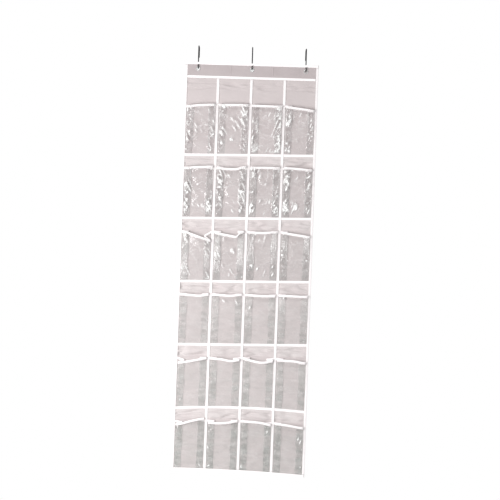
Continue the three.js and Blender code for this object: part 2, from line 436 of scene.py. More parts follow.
def sewing_thread(name, colour):
    """Twisted thread, with painted shade in its grooves."""
    thread = new_material(name)
    twist = thread.wave(thread.given("flat", "Vector"), 0.5 * MM, "DIAGONAL")
    # painted shade: darker in the grooves of the twist
    base = thread.colours(twist, (0.1, shade(colour, 0.82)), (0.8, colour))
    thread.give("Base Color", base)
    thread.give("Normal", thread.bump(twist, 0.1 * MM, 0.8))
    thread.give("Roughness", 0.55)
    thread.give("Sheen Weight", 0.1)
    return thread.owner


def plated_steel(name, colour, low, high, metallic=1.0):
    """Plated steel with fine drawing marks and a roughness that varies from low to high."""
    steel = new_material(name)
    place = steel.place()
    marks = steel.noise(steel.stretched(place, (1, 1, 0.12)), 2200, 4, 0.6)
    smudges = steel.noise(place, 120, 3)
    base = steel.colours(smudges, (0.3, shade(colour, 0.86)), (0.7, colour))
    steel.give("Base Color", base)
    steel.give("Roughness", steel.spread(smudges, 0.3, 0.7, low, high))
    steel.give("Normal", steel.bump(marks, 0.03 * MM, 0.35))
    steel.give("Metallic", metallic)
    return steel.owner


def clear_film(name, tint, stain, gloss_roughness, bumpy):
    """Thin clear film: it tints what is behind it, patchily towards its stain, and shines. Where
    an attribute of the mesh marks it, it turns whitish: partly the real whitening of creased film,
    partly painted glints."""
    film = new_material(name)
    cut = film.given("flat", "Vector")
    crinkle = film.noise(film.stretched(cut, (1, 1, 0.6)), 160, 5, 0.6)
    fine = film.noise(cut, 700, 3, 0.6)
    normal = film.bump(fine, 0.05 * MM, 0.3, film.bump(crinkle, 0.5 * MM, bumpy))
    patches = film.noise(film.stretched(cut, (1, 1, 2.4)), 26, 2, 0.6)
    tints = film.colours(patches, (0.42, tint), (0.58, stain))
    clear = film.add("ShaderNodeBsdfTransparent", "BSDF", {"Color": tints})
    shine = {"Roughness": gloss_roughness, "Normal": normal}
    gloss = film.add("ShaderNodeBsdfGlossy", "BSDF", shine)
    facing = film.add("ShaderNodeLayerWeight", "Facing", {})
    mirror = film.plus(film.times(film.math("POWER", facing, 4.0), 0.5), 0.045)
    shiny = film.mix(mirror, clear, gloss)
    # the whitish marks from the mesh: partly creased film, partly painted glints
    white_and_painted_glint = film.given("white_and_painted_glint")
    dull = film.spread(film.noise(film.stretched(cut, (1, 1, 2.2)), 19, 3), 0.42, 0.64, 0.01, 0.09)
    haze = film.times(film.spread(fine, 0.2, 0.8, 0.6, 1), dull)
    whitened_and_glinting = film.times(white_and_painted_glint, film.spread(crinkle, 0.35, 0.6, 0.3, 1))
    film.give("Base Color", (0.93, 0.93, 0.92, 1))
    film.give("Roughness", 0.3)
    film.give("Normal", normal)
    milky = film.shader.outputs["BSDF"]
    surface = film.tree.nodes["Material Output"].inputs["Surface"]
    # the milky white shader carries the film's haze and those painted glints
    film.put(surface, film.mix(film.plus(haze, whitened_and_glinting), shiny, milky))
    return film.owner


# one value for each row from the top
FILM_CLARITY = [0.99, 0.978, 0.98, 0.997, 0.997, 0.974]
FILM_STAINS = [0.016, 0.026, 0.026, 0.03, 0.036, 0.042]
FILM_ROUGHNESS = [0.09, 0.09, 0.13, 0.26, 0.3, 0.3]
FILM_BUMPS = [0.4, 0.4, 0.3, 0.15, 0.12, 0.12]


def film_for_row(row):
    """The lower pockets' film is a little greener, greyer and duller."""
    clarity = FILM_CLARITY[row]
    stained = clarity - FILM_STAINS[row]
    green = 0.0016 * row - 0.001
    tint = (clarity, clarity + green, clarity + 0.6 * green)
    stain = (stained, stained + 2 * green, stained + 1.2 * green)
    name = f"clear_film_row_{row + 1}"
    return clear_film(name, tint, stain, FILM_ROUGHNESS[row], FILM_BUMPS[row])


# the last colour of each is the paler one, painted as light on the bare strips
PANEL_FABRIC = nonwoven("panel_fabric", (0.537, 0.485, 0.484), 0.91, (0.594, 0.554, 0.55))
BAND_FABRIC = nonwoven("band_fabric", (0.444, 0.395, 0.398), 0.88, (0.48, 0.43, 0.43))
TAPE_COLOUR = (0.95, 0.907, 0.912)
# painted light and shade: the tapes across are painted lighter and the upright ones darker, though
# all are one white tape, since the mouth tapes catch less light
TAPE_ACROSS = woven_tape("tape_across", TAPE_COLOUR, "X")
TAPE_UP_PAINTED_SHADE = woven_tape("tape_up_painted_shade", shade(TAPE_COLOUR, 0.91), "Z")
THREAD = sewing_thread("thread", (0.9, 0.89, 0.88))
HOOK_METAL = plated_steel("hook_metal", (0.025, 0.025, 0.027), 0.2, 0.35)
EYELET_METAL = plated_steel("eyelet_metal", (0.9, 0.9, 0.89), 0.12, 0.25, 0.55)
FILMS = [film_for_row(row) for row in range(ROWS)]


# ---- eyelet holes ----

EYELET_HOLE_R = 4.95 * MM  # 0.2 mm more than in the CAD, to clear the hooks as they swing
CUT_R = 5.9 * MM  # in the fabric, behind the eyelet's flange
FLANGE_R = size("eyelet_left").x / 2
EYELET_CENTRES = [middle(f"eyelet_{side}") for side in SIDES]


def add_punch():
    """Three short rods where the fabric is punched for its eyelets."""
    work = bmesh.new()
    for centre in EYELET_CENTRES:
        made = bmesh.ops.create_cone(
            work, cap_ends=True, segments=40, radius1=CUT_R, radius2=CUT_R, depth=30 * MM)
        for vertex in made["verts"]:
            x, y, z = vertex.co
            vertex.co = (centre.x + x, centre.y + z, centre.z + y)
    bmesh.ops.recalc_face_normals(work, faces=work.faces)
    return object_from("punch", work)


def punch_eyelets(*sheets):
    """Cuts the eyelet holes, and gives the new points their place in the flat cut."""
    punch = add_punch()
    for piece in sheets:
        cut = piece.modifiers.new("eyelet_holes", "BOOLEAN")
        cut.operation = "DIFFERENCE"
        cut.solver = "EXACT"
        cut.object = punch
        bpy.context.view_layer.objects.active = piece
        with bpy.context.temp_override(object=piece, active_object=piece):
            bpy.ops.object.modifier_apply(modifier=cut.name)
        laid = piece.data.attributes["flat"].data
        for vertex, entry in zip(piece.data.vertices, laid):
            x, y, z = vertex.co
            if z > FLAT_ABOVE:
                entry.vector = (x, MID_Y - y, z)
    bpy.data.objects.remove(punch)


# ---- fabric panel and band ----

PANEL_IN = 1.2 * MM  # the fabric's edge, inside the fold of its bindings
WRINKLE_BEHIND = 0.7 * MM  # behind the pockets
WRINKLE_HEADER = 9 * MM  # below the header tape
WRINKLE_BARE = 15 * MM  # in the bare strips between rows
BARE_H = 38 * MM  # height of a bare strip
BARE_FADE = 14 * MM  # and the height in which it ends
BAND_CREASES_X = (-79 * MM, 79 * MM)
CREASE_W = 1.6 * MM
CREASE_H = 1.1 * MM


def bare_strip(z):
    """1 in the strip of fabric between a seam and the mouths of the pockets below it, else 0."""
    above = np.array([min(line for line in SEWN_LINES if line > height) for height in z])
    return 1 - smooth((above - z - BARE_H) / BARE_FADE)


def wrinkle(flat):
    """How far each fabric point is pushed back by its wrinkles, which run mostly across."""
    x, z = flat[:, 0], flat[:, 2]
    squashed = in_plane(x, z * 3.6)
    soft = np.abs(noise_at(squashed, 0.06, 2.0))
    line = 1 - smooth(np.abs(noise_at(squashed * (0.8, 1, 1.2), 0.07, 5.0)) / 0.28)
    folds = 0.6 * soft + 0.42 * line - 0.25
    nearest = np.min([np.abs(z - s) for s in [*SEAM_Z, HEADER_Z]], axis=0)
    beside = np.min([np.abs(x - d) for d in [*DIVIDER_X, LEFT_X, RIGHT_X]], axis=0)
    calm = smooth((nearest - 5 * MM) / (12 * MM)) * smooth((beside - 5 * MM) / (10 * MM))
    deep = np.where(z > SEAM_Z[0], WRINKLE_HEADER, WRINKLE_BARE)
    calm *= smooth((FLAT_ABOVE - z) / (14 * MM))
    return calm * folds * (WRINKLE_BEHIND + bare_strip(z) * (deep - WRINKLE_BEHIND))


def slab(xs, zs, front, back, dent):
    """A closed sheet between two depths, as (points, faces); dent says how far it is pushed
    back at each point."""
    level = in_plane(*(places.ravel() for places in np.meshgrid(xs, zs)))
    level[:, 1] = -dent(level)
    layers = [level + (0, depth, 0) for depth in (front, back)]
    columns, rows = len(xs), len(zs)
    count = columns * rows
    faces = grid_faces(columns, rows)
    faces += [tuple(reversed(face)) for face in grid_faces(columns, rows, count)]
    rim = [*range(columns - 1), *range(columns - 1, count - 1, columns)]
    rim += [*range(count - 1, count - columns, -1), *range(count - columns, 0, -columns)]
    for a, b in zip(rim, rim[1:] + rim[:1]):
        faces.append((b, a, a + count, b + count))
    return np.concatenate(layers), faces


def add_panel():
    xs = steps(LEFT_X + PANEL_IN, RIGHT_X - PANEL_IN, 7 * MM)
    zs = fold_steps(BOTTOM_Z + PANEL_IN, TOP_Z - PANEL_IN, 3.2 * MM)
    flat, faces = slab(xs, zs, PANEL_T / 2, -PANEL_T / 2, wrinkle)
    piece = add_hung("fabric_panel", flat, faces, [PANEL_FABRIC])
    # painted light: the bare strips below the header are marked for a paler colour
    bare_painted_light = bare_strip(flat[:, 2]) * (flat[:, 2] < SEAM_Z[0])
    give_values(piece, "bare_painted_light", bare_painted_light)
    return piece


def band_crease(flat):
    """Soft waves, and two upright fold lines left from the organizer's packing, which all end
    at the tapes and at the eyelets."""
    x, z = flat[:, 0], flat[:, 2]
    waves = CREASE_H * noise_at(in_plane(x, z * 3.5), 0.035, 9.0)
    lines = sum(CREASE_H * np.exp(-((x - c) / CREASE_W) ** 2) for c in BAND_CREASES_X)
    tapes = np.minimum(z - HEADER_Z - SEAM_W / 2, TOP_Z - BINDING_W - z)
    eyelet = np.min([np.hypot(x - c.x, z - c.z) for c in EYELET_CENTRES], axis=0)
    return (waves - lines) * smooth(tapes / (8 * MM)) * smooth((eyelet - FLANGE_R) / (12 * MM))


def add_band():
    xs = steps(LEFT_X + 2 * MM, RIGHT_X - 2 * MM, 5 * MM)
    fine = [steps(c - 5 * MM, c + 5 * MM, 0.8 * MM) for c in BAND_CREASES_X]
    xs = np.unique(np.concatenate([xs, *fine]).round(5))
    zs = steps(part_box("top_band")[0].z, TOP_Z - 1.5 * MM, 4 * MM)
    flat, faces = slab(xs, zs, BAND_FRONT - 0.15 * MM, BAND_BACK + 0.25 * MM, band_crease)
    return add_hung("top_band_fabric", flat, faces, [BAND_FABRIC])


# ---- tapes and bindings ----

TAPE_STEP = 6 * MM
TAPE_GAP = 0.3 * MM  # between a tape's end and the tape that it meets
NEAR_FOLD = 20 * MM  # a seam tape this close to the fold follows neither half of the panel
EDGE_IN = 1.3 * MM  # stitch line from a tape's edge
STITCH_BACK = -PANEL_T / 2 - 0.13 * MM


def strip_section(width, front, back):
    """Section of a flat tape, (offset across, depth), its edges rounded and its face crowned."""
    half, t = width / 2, front - back
    crown = [(-half + 0.5 * t, front - 0.1 * t), (-half * 0.55, front), (0, front + 0.04 * t),
             (half * 0.55, front), (half - 0.5 * t, front - 0.1 * t)]
    edge = [(half, front - 0.45 * t), (half - 0.25 * t, back)]
    other = [(-half + 0.25 * t, back), (-half, front - 0.45 * t)]
    return np.array(crown + edge + other)


def hem_section():
    """Section of a binding folded over an edge: (distance in from the edge, depth)."""
    width, front, back, t = BINDING_W, BINDING_FRONT, BINDING_BACK, TAPE_T
    middle_depth = (front + back) / 2
    outer = [(width, front - 0.15 * t), (width - t, front), (width * 0.55, front + 0.05 * t),
             (1.3 * t, front), (0.35 * t, front - 0.6 * t), (0, middle_depth),
             (0.35 * t, back + 0.6 * t), (1.3 * t, back), (width - t, back),
             (width, back + 0.15 * t)]
    inner = [(width, back + t), (2 * t, back + t), (1.3 * t, middle_depth),
             (2 * t, front - t), (width, front - t)]
    return np.array(outer + inner)


def ribbon(section, run, upright, centre):
    """A section carried along x, or along z if upright, as (points, faces)."""
    around, rings = len(section), len(run)
    along = np.repeat(run, around)
    beside = np.tile(section[:, 0], rings) + centre
    depth = np.tile(section[:, 1], rings)
    columns = (beside, depth, along) if upright else (along, depth, beside)
    return np.stack(columns, 1), tube_faces(around, rings)


def straight_stitches(run, upright, beside, depth, outward=1):
    """A straight stitch line on a face at that depth; outward is -1 on the back."""
    path = np.zeros((len(run), 3))
    path[:, 1] = depth
    path[:, 2 if upright else 0] = run
    path[:, 0 if upright else 2] = beside
    return stitch_run(path, np.tile((0, outward, 0), (len(run), 1)))


def add_strip_tape(name, run, upright, centre, width, front, back):
    """A flat tape with a stitch line along each edge, which shows behind the panel too."""
    body = ribbon(strip_section(width, front, back), run, upright, centre)
    lines = []
    for side in (-1, 1):
        beside = centre + side * (width / 2 - EDGE_IN)
        lines.append(straight_stitches(run[::4], upright, beside, front - 0.02 * MM))
        lines.append(straight_stitches(run[::4], upright, beside, STITCH_BACK, -1))
    return sewn(name, body, lines, TAPE_UP_PAINTED_SHADE if upright else TAPE_ACROSS)


def add_hem(name, run, upright, edge, inward):
    """A binding over the panel's edge, with a stitch line near its inner edge, front and back."""
    body = ribbon(hem_section() * (inward, 1), run, upright, edge)
    beside = edge + inward * (BINDING_W - EDGE_IN)
    lines = [straight_stitches(run, upright, beside, BINDING_FRONT - 0.04 * MM),
             straight_stitches(run, upright, beside, BINDING_BACK + 0.04 * MM, -1)]
    return sewn(name, body, lines, TAPE_UP_PAINTED_SHADE if upright else TAPE_ACROSS)


def on_panel(piece, z, slot, *nodes):
    """The piece follows the half of the panel that is at that height."""
    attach(piece, panel_body(z))
    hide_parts(*nodes)
    return piece


def across_fold(piece, slot, *nodes):
    """Bakes the piece's placement into its points, and hides the nodes that it stands in for."""
    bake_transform(piece)
    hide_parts(*nodes)
    return piece


def add_cross_tapes():
    made = []
    run = steps(LEFT_X + 1.5 * MM, RIGHT_X - 1.5 * MM, TAPE_STEP)
    header_run = steps(LEFT_X + BINDING_W + TAPE_GAP, RIGHT_X - BINDING_W - TAPE_GAP, TAPE_STEP)
    tapes = [("header_tape", HEADER_Z, header_run, TAPE_FRONT, TAPE_BACK)]
    for row in range(ROWS - 1):
        tapes.append((f"seam_tape_row_{row + 1}", SEAM_Z[row], run, SEAM_FRONT, SEAM_BACK))
    for node, z, along, front, back in tapes:
        tape = add_strip_tape(f"{node}_woven", along, False, z, SEAM_W, front, back)
        if abs(z - FOLD_TOP_Z) < NEAR_FOLD:
            across_fold(tape, "white_tape", node)
        else:
            on_panel(tape, z, "white_tape", node)
        made.append(tape)
    return made


def add_hems():
    made = []
    run = steps(LEFT_X, RIGHT_X, TAPE_STEP)
    for side, edge, inward in (("top", TOP_Z, -1), ("bottom", BOTTOM_Z, 1)):
        hem = add_hem(f"{side}_hem", run, False, edge, inward)
        made.append(on_panel(hem, edge, "white_tape", f"{side}_binding"))
    run = fold_steps(BOTTOM_Z + BINDING_W + TAPE_GAP, TOP_Z - BINDING_W - TAPE_GAP, TAPE_STEP)
    for side, edge, inward in (("left", LEFT_X, 1), ("right", RIGHT_X, -1)):
        hem = add_hem(f"{side}_hem", run, True, edge, inward)
        nodes = (f"{side}_binding_upper", f"{side}_binding_lower")
        made.append(across_fold(hem, "white_tape", *nodes))
    return made


def add_dividers():
    run = fold_steps(BOTTOM_Z + BINDING_W + TAPE_GAP, HEADER_Z - SEAM_W / 2 - TAPE_GAP, TAPE_STEP)
    made = []
    for side, x in zip(SIDES, DIVIDER_X):
        tape = add_strip_tape(f"divider_{side}_woven", run, True, x, DIVIDER_W,
                              TAPE_FRONT, TAPE_BACK)
        nodes = (f"divider_{side}_upper", f"divider_{side}_lower")
        made.append(across_fold(tape, "white_tape", *nodes))
    return made


# ---- clear pockets ----

PLEAT = 26 * MM
TUCK = 3 * MM  # film held under the tapes beside it
FOOT_TUCK = 3.2 * MM
FRONT_IN = 1.6 * MM  # the front's outer folds, inside the pocket's width
FRONT_EDGE = 0.65  # their depth, as a share of the opening
FOLD_ROUND = 0.6 * MM  # the film turns within this at each fold
# a pleat from its sewn edge to the front. Each stretch has its steps, where it starts, as distance
# in and share of the depth, its layer, and the whiteness at its start, partly creased film and
# partly painted glint
PLEAT_COURSE = [
    (7, -TUCK, 0.0, 0, 0.0),
    (2, PLEAT - FOLD_ROUND, 0.31, 0, 0.6),
    (7, PLEAT, 0.33, 1, 0.9),
    (2, FRONT_IN + FOLD_ROUND, 0.62, 1, 0.6),
    (0, FRONT_IN, FRONT_EDGE, 2, 0.0),
]
FOLD_STRAY = 3 * MM  # the most that a pleat's inner fold wanders sideways
SIDE_STRIP = 0.14  # share of the width, at each side, that is crumpled like its pleat
FRONT_STEPS = 48
HEIGHT_STEPS = 76
MOUTH_TAPE_H = 8.3 * MM
MOUTH_TAPE_T = 1.1 * MM
MOUTH_STITCHED = 14  # steps of the front with stitches, either side of its middle
SOFT_BENDS = 0.1  # share of the front over which a mouth's bends are rounded
SHARP_BENDS = 0.035  # and in row 3, where the mouths are kinked
# how far each mouth hangs below level, in mm, at shares of the way across the pocket's front
MOUTH_SAG = [
    [((0, 9), (0.5, 4), (1, 1)), ((0, 2), (1, 0)), ((0, 2), (1, 4)), ((0, 4), (1, 17))],
    [((0, 0), (1, -6)), ((0, -4), (0.15, 2), (0.7, 4), (0.85, -5), (1, -6)), ((0, -3), (1, -3)),
     ((0, -4), (1, 5))],
    [((0, 3), (0.15, 4), (1, 36)), ((0, 5), (0.3, 11), (0.75, 20), (0.85, 5), (1, 0)),
     ((0, 2), (0.5, 4), (1, 0)), ((0, 2), (1, 18))],
    [((0, -2), (0.7, 4), (1, -2)), ((0, -2), (0.6, 3), (1, -2)), ((0, -1), (0.6, 3), (1, 3)),
     ((0, 0), (1, 5))],
    [((0, 18), (0.35, 13), (1, 0)), ((0, 1), (0.35, 3), (0.7, 11), (1, 6)),
     ((0, 1), (0.3, 9), (0.6, 15), (0.8, 13), (1, 7)), ((0, 4), (0.6, 6), (1, 13))],
    [((0, 13), (0.25, 9), (0.55, -1), (1, -9)), ((0, 5), (0.2, 8), (0.5, 7), (0.8, 3), (1, -2)),
     ((0, -2), (0.5, -1), (0.75, 1), (1, 8)), ((0, 0), (0.5, 3), (1, 9))],
]
# share of that drop which the outermost side seams already have: left edge, right edge
SEWN_LOW = [(0.9, 0.9), (0, 0.9), (0, 0.9), (0, 0.5), (0, 0.9), (0, 0.9)]
CRINKLE = [3.6 * MM, 3.4 * MM, 2.6 * MM, 1.4 * MM, 1.4 * MM, 1.4 * MM]  # height of the creases
CRUMPLE = [1.9, 1.9, 0.9, 0.3, 0.3, 0.3]  # how much more there is along the pleats
# the whiteness along the folds is partly creased film and partly painted glint
FOLD_WHITE_AND_GLINT = [0.8, 0.8, 0.5, 0.2, 0.15, 0.12]  # how white the film is along its folds
# how strong the noise must be for a painted glint, a white streak, on the pleats and on the front
# between them
GLINT_STREAK_PLEATS = [0.24, 0.22, 0.45, 0.64, 0.74, 0.74]
GLINT_STREAK_FRONT = [0.5, 0.5, 0.62, 0.85, 0.95, 0.95]
OUTER_FRONT = 0.16  # the outer columns' fronts are smoother, and need more
FOOT_GLINT_STREAKS = [0, 0, 0, 0.2, 0.16, 0.22]  # less strength is needed low on the pleats


def pocket_section(left, right):
    """The film's section at full opening: x, share of the depth, layer 0-2, and whiteness (creased
    film and painted glint).
    """
    half = []
    for start, end in zip(PLEAT_COURSE, PLEAT_COURSE[1:]):
        count, x, depth, layer, white_and_painted_glint = start
        for step in range(count):
            share = step / count
            half.append((x + (end[1] - x) * share, depth + (end[2] - depth) * share, layer,
                         0.0 if step else white_and_painted_glint))
    section = [(left + inward, *rest) for inward, *rest in half]
    front = np.linspace(left + FRONT_IN, right - FRONT_IN, FRONT_STEPS)
    centre = (left + right) / 2
    for index, x in enumerate(front):
        bulge = 1 - ((x - centre) / (centre - front[0])) ** 2
        # the front's outer folds: whitening of creased film and painted glint
        white_and_painted_glint = 0.6 if index in (0, FRONT_STEPS - 1) else 0.0
        section.append((x, FRONT_EDGE + (1 - FRONT_EDGE) * bulge, 2, white_and_painted_glint))
    section += [(right - inward, *rest) for inward, *rest in reversed(half)]
    return np.array(section)


def mouth_drop(row, column, section):
    """How far each point of the mouth hangs down: the pleats slope to it from the sewn sides."""
    x, depth, layer = section[:, 0], section[:, 1], section[:, 2]
    front = x[layer == 2]
    share = np.clip((x - front[0]) / (front[-1] - front[0]), 0, 1)
    marks = np.array(MOUTH_SAG[row][column], float)
    soften = SHARP_BENDS if row == 2 else SOFT_BENDS
    nearby = [np.interp(share + shift * soften, marks[:, 0], marks[:, 1])
              for shift in (-1, -0.5, 0, 0.5, 1)]
    drop = np.mean(nearby, axis=0) * MM
    on_left = x < x.mean()
    ends = np.where(on_left, marks[0, 1], marks[-1, 1]) * MM
    sewn_left = SEWN_LOW[row][0] if column == 0 else 0
    sewn_right = SEWN_LOW[row][1] if column == COLUMNS - 1 else 0
    sewn = np.where(on_left, sewn_left, sewn_right)
    return np.where(layer == 2, drop, ends * (sewn + (1 - sewn) * depth / FRONT_EDGE))


def opening_at(share):
    """How far the pocket stands open at a share of its height."""
    return 0.04 + 0.96 * (0.3 * math.sin(share * math.pi / 2) + 0.7 * share)


def film_depth(share, section):
    """Depth of each point of the section at a share of the pocket's height. Below 0 the film
    lies flat under the tape at its foot."""
    if share < 0:
        return PANEL_T / 2 + 0.08 * MM + section[:, 2] * 0.06 * MM
    base = PANEL_T / 2 + 0.5 * MM
    layered = base + section[:, 2] * 0.28 * MM
    full = 0.8 * (POCKET_FRONT - base)
    return layered + section[:, 1] * full * opening_at(share)


class Film:
    """One pocket's film before it is crumpled: what is known at its points, from its foot up."""

    def __init__(self, row, column):
        low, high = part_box(for_pocket("pocket", row, column))
        section = pocket_section(low.x, high.x)
        top = high.z - mouth_drop(row, column, section)
        foot = [-FOOT_TUCK / (high.z - low.z), -0.004]
        heights = np.concatenate([foot, np.linspace(0, 1, HEIGHT_STEPS)])
        points, folds = [], []
        for share in heights:
            z = low.z + (top - low.z) * share
            points.append(np.stack([section[:, 0], film_depth(share, section), z], 1))
            folds.append(section[:, 3] * min(1.0, 0.35 + abs(share)))
        self.row, self.column = row, column
        self.seed = row * 4 + column + 1.0
        self.left, self.right = low.x, high.x
        self.around, self.levels = len(section), len(heights)
        self.flat = np.concatenate(points)
        self.folds = np.concatenate(folds)
        self.share = np.repeat(heights, self.around)
        self.layer = np.tile(section[:, 2], self.levels)
        across_share = np.clip((section[:, 0] - low.x) / (high.x - low.x), 0, 1)
        self.beside = np.tile(np.minimum(across_share, 1 - across_share), self.levels)
        self.strip = 1 - smooth((self.beside - SIDE_STRIP) / SIDE_STRIP)

    def laid(self):
        """Each point's x and z in the flat cut."""
        return self.flat[:, 0], self.flat[:, 2]


def ridges(points, feature, seed):
    """Noise made into sharp ridges: 1 along their lines, down to -1 between them."""
    return 1 - 2 * np.abs(noise_at(points, feature, seed))


def pocket_crinkles(film):
    """How far creases push the front forward, and how white the film is on their crests, partly
    creased film and partly painted glint. The upper pockets are also crumpled along their pleats."""
    x, z = film.laid()
    first = ridges(in_plane(x + 0.55 * z, z * 0.45), 0.028, film.seed)
    second = ridges(in_plane(x - 0.7 * z, z * 0.6), 0.02, film.seed + 31)
    crumple = ridges(in_plane(x * 1.5, z), 0.024, film.seed + 57)
    height = 0.25 + 0.2 * first + 0.1 * second
    height += film.strip * CRUMPLE[film.row] * (0.5 + 0.5 * crumple)
    # painted glints and crease whitening on the crests of the creases
    whitened_and_glinting = np.clip((np.maximum(first, second) - 0.93) / 0.07, 0, 1)
    deep = CRINKLE[film.row]
    return height * deep, whitened_and_glinting * min(1.0, deep / (2 * MM))


def fold_wander(film):
    """How far the pleats' inner folds stray sideways down the pocket."""
    x, z = film.laid()
    side = np.where(x < (film.left + film.right) / 2, 0.0, 3.0)
    line = np.stack([np.zeros_like(z), side, z], 1)
    reach = np.clip(np.minimum(x - film.left, film.right - x) / PLEAT, 0, 1)
    return FOLD_STRAY * reach * noise_at(line, 0.035, film.seed + 70)


def crumple_film(film):
    """Pushes the front forward at its creases and moves the folds of the pleats, and returns how
    white the creases make each point, partly creased film and partly painted glint."""
    share = film.share
    height, whitened_and_glinting = pocket_crinkles(film)
    room = smooth(share / 0.35) * smooth((1 - share) / 0.06 + 0.25)
    film.flat[:, 1] += height * (film.layer == 2) * room * smooth(film.beside / 0.05)
    away_from_ends = smooth(share / 0.1) * smooth((1 - share) / 0.1)
    film.flat[:, 0] += fold_wander(film) * (film.layer < 2) * away_from_ends
    return whitened_and_glinting


def painted_glint_streaks(film):
    """Painted glints: white marks where the film is badly crumpled, in place of the shine of its
    creases: steep streaks, broken patches on the front, and short marks, which are strongest on
    the pleats."""
    x, z = film.laid()
    strip, seed, row = film.strip, film.seed, film.row
    lean = 0.55 if film.column < 2 else -0.35
    short = in_plane(0.7 * x - 0.6 * z, 0.8 * z + 0.3 * x)
    steep = noise_at(in_plane(x + lean * z, 0.22 * z), 0.0068, seed)
    marks = (0.3 + 0.6 * strip) * noise_at(short, 0.0095, seed + 5)
    patches = noise_at(in_plane(x + 0.6 * lean * z, 0.5 * z - 0.2 * x), 0.017, seed + 17)
    patches -= 0.35 * np.abs(noise_at(short, 0.006, seed + 3))
    strength = np.maximum.reduce([steep, marks, (1 - strip) * patches])
    strength += 0.5 * noise_at(in_plane(x, z), 0.055, seed + 9)
    front = GLINT_STREAK_FRONT[row] + (OUTER_FRONT if film.column in (0, COLUMNS - 1) else 0)
    needed = front + strip * (GLINT_STREAK_PLEATS[row] - front)
    needed -= strip * FOOT_GLINT_STREAKS[row] * (1 - smooth(film.share / 0.35))
    # painted glints, only on the front layer
    streaks = smooth((strength - needed) / 0.12)
    return streaks * smooth(film.share / 0.06) * (film.layer == 2)


def film_white_and_glint(film, whitened_and_glinting):
    """How white each point is, partly creased film and partly painted glint: patchily along its
    folds, along its creases and in its streaks.
    """
    patches = noise_at(in_plane(*film.laid()), 0.045, film.row + film.column * 3.0)
    strongest = FOLD_WHITE_AND_GLINT[film.row]
    along_folds = film.folds * strongest * smooth(0.55 + 1.3 * patches)
    fine = 0.55 * strongest * whitened_and_glinting * (film.layer == 2) * smooth(film.share / 0.1)
    return np.maximum.reduce([along_folds, fine, 0.95 * painted_glint_streaks(film)])


def add_pocket_film(row, column):
    """One pocket's film, and the flat points along its mouth."""
    film = Film(row, column)
    whitened_and_glinting = crumple_film(film)
    name = for_pocket("pocket_film", row, column)
    piece = add_hung(name, film.flat, grid_faces(film.around, film.levels), [FILMS[row]])
    give_values(piece, "white_and_painted_glint", film_white_and_glint(film, whitened_and_glinting))
    return piece, film.flat[-film.around:]


def add_mouth_tape(row, column, edge):
    """Binding folded over the film's top edge; it follows the pleats, and is stitched in front."""
    forward = unit(np.gradient(edge[:, :2], axis=0))
    out = np.stack([-forward[:, 1], forward[:, 0], np.zeros(len(edge))], 1)
    half = MOUTH_TAPE_T / 2
    section = [(half, -MOUTH_TAPE_H), (half, -0.8 * MM), (half * 0.6, 0.2 * MM), (0, 0.5 * MM),
               (-half * 0.6, 0.2 * MM), (-half, -0.8 * MM), (-half, -MOUTH_TAPE_H)]
    points = [place + side * offset + (0, 0, z)
              for place, side in zip(edge, out) for offset, z in section]
    body = (np.array(points), tube_faces(len(section), len(edge)))
    front = slice(len(edge) // 2 - MOUTH_STITCHED, len(edge) // 2 + MOUTH_STITCHED)
    path = edge[front] + out[front] * half + (0, 0, EDGE_IN - MOUTH_TAPE_H)
    name = for_pocket("mouth_tape", row, column)
    return sewn(name, body, [stitch_run(path, out[front])], TAPE_ACROSS)


def opens_with(piece):
    """Bakes the piece's placement into its points."""
    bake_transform(piece)


def add_pocket(row, column):
    node = for_pocket("pocket", row, column)
    film, edge = add_pocket_film(row, column)
    tape = add_mouth_tape(row, column, edge)
    for piece, slot in ((film, "clear_film"), (tape, "white_tape")):
        opens_with(piece)
    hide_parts(node)


# ---- wire hooks ----

WIRE_R = 2 * MM
BEND_R = 6 * MM
WIRE_SIDES = 20


def full_turn(count):
    """Equal angles round a circle."""
    return [2 * math.pi * step / count for step in range(count)]


def arc(centre, radius, start, end, count):
    """Points of an arc in the (y, z) plane; angles in degrees."""
    turn = [math.radians(start + (end - start) * i / count) for i in range(count + 1)]
    return [(centre[0] + radius * math.cos(a), centre[1] + radius * math.sin(a)) for a in turn]


def hook_path(node):
    """The wire's centre line from the leg behind the door to the tip in front, as (y, z)."""
    low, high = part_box(node)
    back_y = high.y - WIRE_R
    bar_z = high.z - WIRE_R
    tip_y = low.y + WIRE_R
    j_radius = (-back_y - tip_y) / 2
    j_centre = (-back_y - j_radius, low.z + WIRE_R + j_radius)
    path = [(back_y, min(heights_near(node, back_y)) + WIRE_R), (back_y, bar_z - BEND_R - 8 * MM)]
    path += arc((back_y - BEND_R, bar_z - BEND_R), BEND_R, 0, 90, 10)
    path += arc((-back_y + BEND_R, bar_z - BEND_R), BEND_R, 90, 180, 10)
    path += [(-back_y, bar_z - BEND_R - 20 * MM), (-back_y, j_centre[1] + 12 * MM)]
    path += arc(j_centre, j_radius, 0, -180, 22)
    path += [(tip_y, max(heights_near(node, tip_y)) - WIRE_R)]
    return path


def heights_near(node, y):
    """Heights of the CAD wire's points where its centre line is at that y."""
    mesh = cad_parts[node].data
    return [v.co.z for v in mesh.vertices if abs(v.co.y - y) < WIRE_R + 0.5 * MM]


def wire_rings(path, x):
    """Rings along the wire, as (centre, direction, radius), closing to a dome at each end."""
    path = [Vector((x, y, z)) for y, z in path]
    rings = []
    for index, place in enumerate(path):
        before = path[max(index - 1, 0)]
        after = path[min(index + 1, len(path) - 1)]
        rings.append((place, (after - before).normalized(), WIRE_R))
    ends = []
    for sign, (place, forward, _) in ((-1, rings[0]), (1, rings[-1])):
        dome = []
        for degrees in range(18, 91, 18):
            turn = math.radians(degrees)
            tip = place + forward * sign * WIRE_R * math.sin(turn)
            dome.append((tip, forward, max(WIRE_R * math.cos(turn), 0.02 * MM)))
        ends.append(dome)
    return ends[0][::-1] + rings + ends[1]


